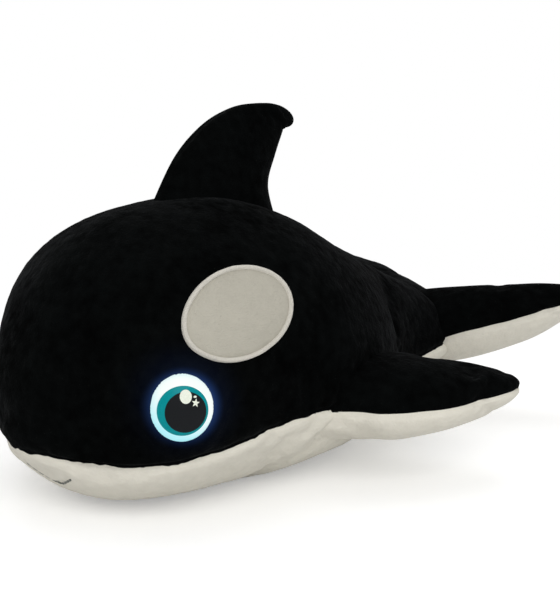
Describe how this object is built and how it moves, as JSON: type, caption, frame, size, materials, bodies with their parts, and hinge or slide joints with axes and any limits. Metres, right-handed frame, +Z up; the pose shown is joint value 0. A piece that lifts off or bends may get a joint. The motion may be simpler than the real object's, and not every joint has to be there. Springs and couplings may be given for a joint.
{
  "type": "plush night light",
  "caption": "Stuffed orca toy with flippers, back fin and tail fin, whose two milky plastic eyes are lit by LEDs from a battery box behind a belly flap.",
  "frame": {"origin": "on the flat-pressed belly where the toy lies on a table, in its middle plane, level with the rear of its widest stretch", "axes": "+Z up, +Y towards the tail, +X to the animal's left side"},
  "size_m": [0.2994, 0.426, 0.2268],
  "materials": {
    "black_plush": "short-pile black plush with a soft grey sheen",
    "white_plush": "short-pile off-white plush",
    "grey_plush": "short-pile pale grey plush",
    "pale_thread": "satin-stitched thread",
    "dark_thread": "dark grey embroidery thread",
    "stuffing": "polyester fibre filling",
    "closing_tape": "woven hook and loop tape",
    "pouch_cloth": "plain white lining cloth",
    "milky_plastic": "milky translucent plastic, lit from inside",
    "teal_print": "gloss print",
    "black_print": "gloss print",
    "pale_print": "gloss print",
    "white_plastic": "moulded",
    "black_plastic": "moulded, fine grain",
    "grey_plastic": "moulded",
    "lamp_lens": "clear epoxy",
    "cable": "smooth sheath",
    "screw_steel": "plated",
    "contact_metal": "nickel plated",
    "board_green": "solder resist",
    "cell_jacket": "plain blue jacket"
  },
  "bodies": {
    "body": {"back_skin": "black_plush", "belly_skin": "white_plush", "loop_tape": "closing_tape", "battery_pouch": "pouch_cloth", "body_stuffing": "stuffing", "back_fin": "black_plush", "left_eye_patch": "grey_plush", "left_patch_rim": "pale_thread", "right_eye_patch": "grey_plush", "right_patch_rim": "pale_thread", "mouth_stitching": "dark_thread", "left_eye_dome": "milky_plastic", "left_eye_iris": "teal_print", "left_eye_pupil": "black_print", "left_eye_glint": "pale_print", "left_eye_glint_dot": "pale_print", "left_eye_base": "white_plastic", "left_eye_washer": "white_plastic", "left_eye_lamp": "lamp_lens", "left_eye_lead": "cable", "right_eye_dome": "milky_plastic", "right_eye_iris": "teal_print", "right_eye_pupil": "black_print", "right_eye_glint": "pale_print", "right_eye_glint_dot": "pale_print", "right_eye_base": "white_plastic", "right_eye_washer": "white_plastic", "right_eye_lamp": "lamp_lens", "right_eye_lead": "cable", "battery_case": "black_plastic", "case_lid": "black_plastic", "lid_screw": "screw_steel", "battery_cell_1": "cell_jacket", "battery_cell_2": "cell_jacket", "battery_cell_3": "cell_jacket", "spring_contacts": "contact_metal", "plate_contacts": "contact_metal", "circuit_board": "board_green", "push_switch": "grey_plastic", "slide_switch_body": "grey_plastic"},
    "left_flipper": {"left_flipper_top": "black_plush", "left_flipper_underside": "white_plush"},
    "right_flipper": {"right_flipper_top": "black_plush", "right_flipper_underside": "white_plush"},
    "tail_fin": {"left_fluke_top": "black_plush", "left_fluke_underside": "white_plush", "right_fluke_top": "black_plush", "right_fluke_underside": "white_plush"},
    "flap": {"belly_flap": "white_plush", "hook_tape": "closing_tape"},
    "cover": {"battery_cover": "black_plastic", "cover_screw": "screw_steel"},
    "button": {"push_button": "white_plastic"},
    "switch": {"slide_switch_knob": "white_plastic"}
  },
  "joints": [
    {"name": "left_flipper_bend", "type": "hinge", "parent": "body", "child": "left_flipper", "pos_m": [0.09988, 0.02201, 0.0516], "axis": [-0.2924, 0.9563, 0], "range_deg": [-14, 14], "stiffness_Nm_per_rad": 0.3},
    {"name": "right_flipper_bend", "type": "hinge", "parent": "body", "child": "right_flipper", "pos_m": [-0.09988, 0.02201, 0.0516], "axis": [-0.2924, -0.9563, 0], "range_deg": [-14, 14], "stiffness_Nm_per_rad": 0.3},
    {"name": "tail_fin_bend", "type": "hinge", "parent": "body", "child": "tail_fin", "pos_m": [0, 0.16699, 0.06401], "axis": [1, 0, 0], "range_deg": [-12, 12], "stiffness_Nm_per_rad": 0.8},
    {"name": "flap_fold", "type": "hinge", "parent": "body", "child": "flap", "pos_m": [0, 0.013, 0], "axis": [-1, 0, 0], "range_deg": [0, 110]},
    {"name": "cover_lift", "type": "slide", "parent": "body", "child": "cover", "axis": [0, 0, -1], "range_m": [0, 0.025]},
    {"name": "button_press", "type": "slide", "parent": "body", "child": "button", "axis": [0, 0, 1], "range_m": [0, 0.0012], "stiffness_N_per_m": 800},
    {"name": "switch_slide", "type": "slide", "parent": "body", "child": "switch", "axis": [1, 0, 0], "range_m": [0, 0.004]}
  ],
  "couplings": [
    {"joint": "cover_lift", "follows": "flap_fold", "m_per_rad": 0.0125}
  ]
}
